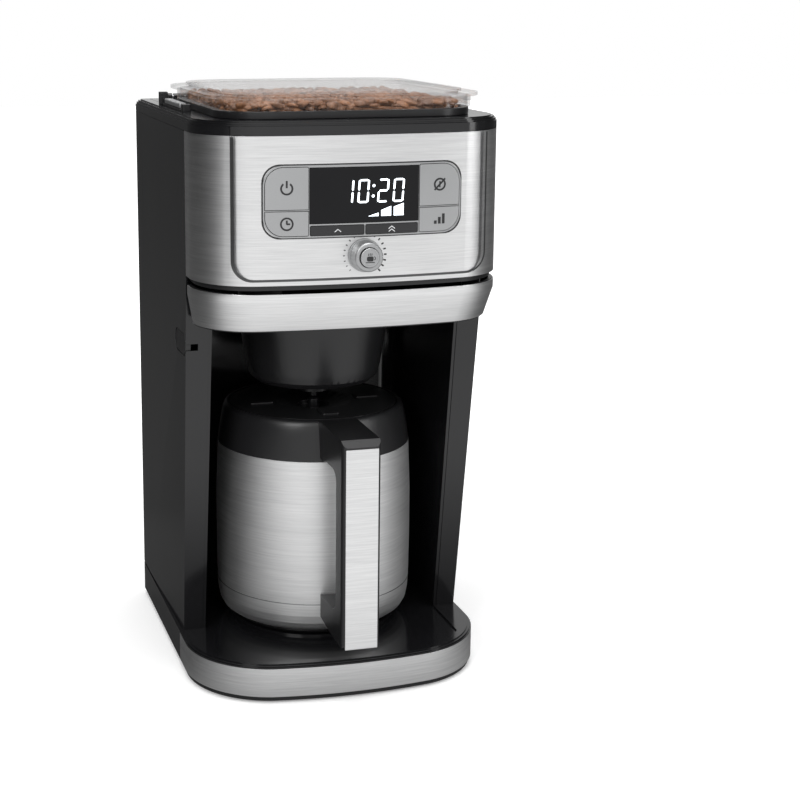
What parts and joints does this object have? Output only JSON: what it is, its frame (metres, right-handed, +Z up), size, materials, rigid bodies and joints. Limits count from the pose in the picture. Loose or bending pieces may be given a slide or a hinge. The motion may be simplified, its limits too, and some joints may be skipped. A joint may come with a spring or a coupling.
{
  "type": "drip coffee maker",
  "caption": "Countertop drip coffee maker with a burr grinder and bean hopper, a swing-out brew basket, a control panel and an insulated steel carafe.",
  "frame": {"origin": "on the surface it stands on, under the middle of its bounding box", "axes": "+X to the right seen from the front, -Y out of the front, +Z up"},
  "size_m": [0.21, 0.2746, 0.413],
  "materials": {
    "gloss_black": "glossy black moulding",
    "black_plastic": "satin black moulding",
    "brushed_steel": "horizontally brushed stainless steel",
    "plain_steel": "plain steel",
    "clear_plastic": "clear moulded plastic",
    "smoked_plastic": "smoked translucent plastic",
    "silver_plastic": "satin silver paint on plastic",
    "dark_key": "dark grey key",
    "window": "dark glossy display window",
    "electronics": "circuit board and display module",
    "rubber": "matte rubber",
    "hose": "milky silicone",
    "aluminium": "cast aluminium",
    "mesh": "gold-tone fine mesh",
    "beans": "roasted coffee beans"
  },
  "bodies": {
    "machine": {"base_shell": "gloss_black", "base_band": "brushed_steel", "bottom_cover": "black_plastic", "rubber_feet": "rubber", "base_screws": "plain_steel", "left_side_panel": "gloss_black", "right_side_panel": "gloss_black", "bay_liner": "gloss_black", "upper_housing": "black_plastic", "rear_cover": "gloss_black", "steel_fascia": "brushed_steel", "top_deck": "gloss_black", "hopper": "black_plastic", "bean_charge": "beans", "latch_rail": "black_plastic", "control_bezel": "silver_plastic", "display_window": "window", "display_module": "electronics", "control_board": "electronics", "dial_encoder": "black_plastic", "reservoir": "smoked_plastic", "reservoir_hinge_pins": "plain_steel", "water_filter_holder": "hose", "check_valve": "hose", "supply_hose": "hose", "heater_tube": "aluminium", "riser_hose": "hose", "shower_head": "black_plastic", "grind_chamber": "black_plastic", "upper_burr": "plain_steel", "grinder_motor": "aluminium", "basket_hinge_pin": "plain_steel", "cord_gland": "black_plastic"},
    "carafe": {"carafe_shell": "brushed_steel", "carafe_liner": "plain_steel", "carafe_foot": "black_plastic", "carafe_collar": "black_plastic", "carafe_handle": "black_plastic", "handle_inlay": "brushed_steel"},
    "carafe_lid_group": {"carafe_lid": "black_plastic", "lid_gasket": "rubber"},
    "lid_valve_group": {"lid_valve": "black_plastic"},
    "basket_door": {"basket_holder": "black_plastic", "basket_band": "brushed_steel", "filter_basket": "black_plastic", "mesh_filter": "mesh"},
    "drip_stop_group": {"drip_stop": "black_plastic"},
    "release_button_group": {"release_button": "black_plastic"},
    "grind_dial_group": {"grind_dial": "silver_plastic"},
    "brew_button_group": {"brew_button": "silver_plastic"},
    "power_key_group": {"power_key": "silver_plastic"},
    "program_key_group": {"program_key": "silver_plastic"},
    "hour_key_group": {"hour_key": "dark_key"},
    "minute_key_group": {"minute_key": "dark_key"},
    "grinder_off_key_group": {"grinder_off_key": "silver_plastic"},
    "strength_key_group": {"strength_key": "silver_plastic"},
    "hopper_lid_group": {"hopper_lid": "clear_plastic"},
    "latch_slider_group": {"latch_slider": "silver_plastic"},
    "reservoir_lid_group": {"reservoir_lid": "gloss_black"},
    "lower_burr_group": {"lower_burr": "plain_steel"}
  },
  "joints": [
    {"name": "carafe_slide", "type": "slide", "parent": "machine", "child": "carafe", "axis": [0, -1, 0], "range_m": [0, 0.21]},
    {"name": "carafe_lid_twist", "type": "hinge", "parent": "carafe", "child": "carafe_lid_group", "pos_m": [0, 0, 0.18], "axis": [0, 0, 1], "range_deg": [0, 60]},
    {"name": "lid_valve_push", "type": "slide", "parent": "carafe_lid_group", "child": "lid_valve_group", "axis": [0, 0, -1], "range_m": [0, 0.002], "stiffness_N_per_m": 200, "springref_m": -0.003},
    {"name": "basket_swing", "type": "hinge", "parent": "machine", "child": "basket_door", "pos_m": [0.09, -0.07825, 0.27], "axis": [0, 0, 1], "range_deg": [0, 100]},
    {"name": "drip_stop_lift", "type": "slide", "parent": "basket_door", "child": "drip_stop_group", "axis": [0, 0, 1], "range_m": [0, 0.003], "stiffness_N_per_m": 150, "springref_m": -0.002},
    {"name": "release_button_push", "type": "slide", "parent": "machine", "child": "release_button_group", "axis": [1, 0, 0], "range_m": [0, 0.0025], "stiffness_N_per_m": 400, "springref_m": -0.002},
    {"name": "grind_dial_turn", "type": "hinge", "parent": "machine", "child": "grind_dial_group", "pos_m": [0, -0.12225, 0.31], "axis": [0, -1, 0], "range_deg": [-135, 135]},
    {"name": "brew_button_push", "type": "slide", "parent": "machine", "child": "brew_button_group", "axis": [0, 1, 0], "range_m": [0, 0.0007], "stiffness_N_per_m": 400, "springref_m": -0.001},
    {"name": "power_key_push", "type": "slide", "parent": "machine", "child": "power_key_group", "axis": [0, 1, 0], "range_m": [0, 0.0008], "stiffness_N_per_m": 300, "springref_m": -0.001},
    {"name": "program_key_push", "type": "slide", "parent": "machine", "child": "program_key_group", "axis": [0, 1, 0], "range_m": [0, 0.0008], "stiffness_N_per_m": 300, "springref_m": -0.001},
    {"name": "hour_key_push", "type": "slide", "parent": "machine", "child": "hour_key_group", "axis": [0, 1, 0], "range_m": [0, 0.0008], "stiffness_N_per_m": 300, "springref_m": -0.001},
    {"name": "minute_key_push", "type": "slide", "parent": "machine", "child": "minute_key_group", "axis": [0, 1, 0], "range_m": [0, 0.0008], "stiffness_N_per_m": 300, "springref_m": -0.001},
    {"name": "grinder_off_key_push", "type": "slide", "parent": "machine", "child": "grinder_off_key_group", "axis": [0, 1, 0], "range_m": [0, 0.0008], "stiffness_N_per_m": 300, "springref_m": -0.001},
    {"name": "strength_key_push", "type": "slide", "parent": "machine", "child": "strength_key_group", "axis": [0, 1, 0], "range_m": [0, 0.0008], "stiffness_N_per_m": 300, "springref_m": -0.001},
    {"name": "hopper_lid_lift", "type": "slide", "parent": "machine", "child": "hopper_lid_group", "axis": [0, 0, 1], "range_m": [0, 0.06]},
    {"name": "latch_slider_move", "type": "slide", "parent": "machine", "child": "latch_slider_group", "axis": [0, -1, 0], "range_m": [0, 0.007]},
    {"name": "reservoir_lid_swing", "type": "hinge", "parent": "machine", "child": "reservoir_lid_group", "pos_m": [0, 0.13325, 0.3972], "axis": [-1, 0, 0], "range_deg": [0, 95]},
    {"name": "lower_burr_spin", "type": "hinge", "parent": "machine", "child": "lower_burr_group", "pos_m": [0, -0.04725, 0.34], "axis": [0, 0, 1], "continuous": true}
  ]
}
